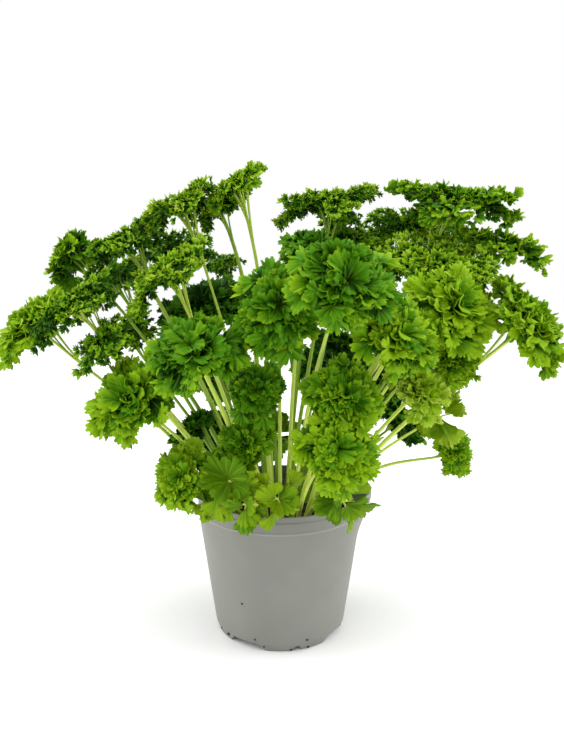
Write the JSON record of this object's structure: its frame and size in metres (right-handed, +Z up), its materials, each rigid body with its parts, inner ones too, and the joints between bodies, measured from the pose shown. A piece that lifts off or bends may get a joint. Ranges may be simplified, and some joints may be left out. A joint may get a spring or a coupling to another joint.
{
  "type": "potted curly parsley",
  "caption": "Bushy curly-leaved herb on long stalks, growing from soil in a tapered plastic nursery pot with a rim band and a notched foot.",
  "frame": {"origin": "centre of the flat pad under the pot, on the pot's axis at the table", "axes": "+Z up along the pot's axis, -Y towards the front, +X to the right along the plant's widest spread"},
  "size_m": [0.3937, 0.3159, 0.3513],
  "materials": {
    "pot_plastic": "matte light grey moulded polypropylene",
    "soil": "dark moist peat",
    "curled_leaf": "mid green curled blades on light green stalks",
    "young_leaf": "light green flat young blades on light green stalks"
  },
  "bodies": {
    "root": {"pot": "pot_plastic", "soil": "soil", "leaf_01": "curled_leaf", "leaf_02": "curled_leaf", "leaf_03": "curled_leaf", "leaf_04": "curled_leaf", "leaf_05": "curled_leaf", "leaf_06": "curled_leaf", "leaf_07": "young_leaf", "leaf_08": "young_leaf", "leaf_09": "young_leaf", "leaf_10": "young_leaf", "leaf_11": "curled_leaf", "leaf_12": "curled_leaf", "leaf_13": "curled_leaf", "leaf_14": "curled_leaf", "leaf_15": "curled_leaf", "leaf_16": "curled_leaf", "leaf_17": "young_leaf", "leaf_18": "curled_leaf", "leaf_19": "curled_leaf", "leaf_20": "curled_leaf", "leaf_21": "curled_leaf", "leaf_22": "curled_leaf", "leaf_23": "curled_leaf", "leaf_24": "curled_leaf", "leaf_25": "curled_leaf", "leaf_26": "curled_leaf", "leaf_27": "curled_leaf", "leaf_28": "curled_leaf", "leaf_29": "curled_leaf", "leaf_30": "curled_leaf", "leaf_31": "curled_leaf", "leaf_32": "curled_leaf", "leaf_33": "curled_leaf", "leaf_34": "curled_leaf", "leaf_35": "curled_leaf", "leaf_36": "curled_leaf", "leaf_37": "curled_leaf", "leaf_38": "curled_leaf", "leaf_39": "curled_leaf", "leaf_40": "curled_leaf", "leaf_41": "curled_leaf", "leaf_42": "curled_leaf", "leaf_43": "curled_leaf", "leaf_44": "curled_leaf", "leaf_45": "curled_leaf", "leaf_46": "young_leaf", "leaf_47": "curled_leaf", "leaf_48": "curled_leaf", "leaf_49": "young_leaf", "leaf_50": "curled_leaf", "leaf_51": "curled_leaf", "leaf_52": "curled_leaf", "leaf_53": "curled_leaf", "leaf_54": "curled_leaf"}
  },
  "joints": []
}
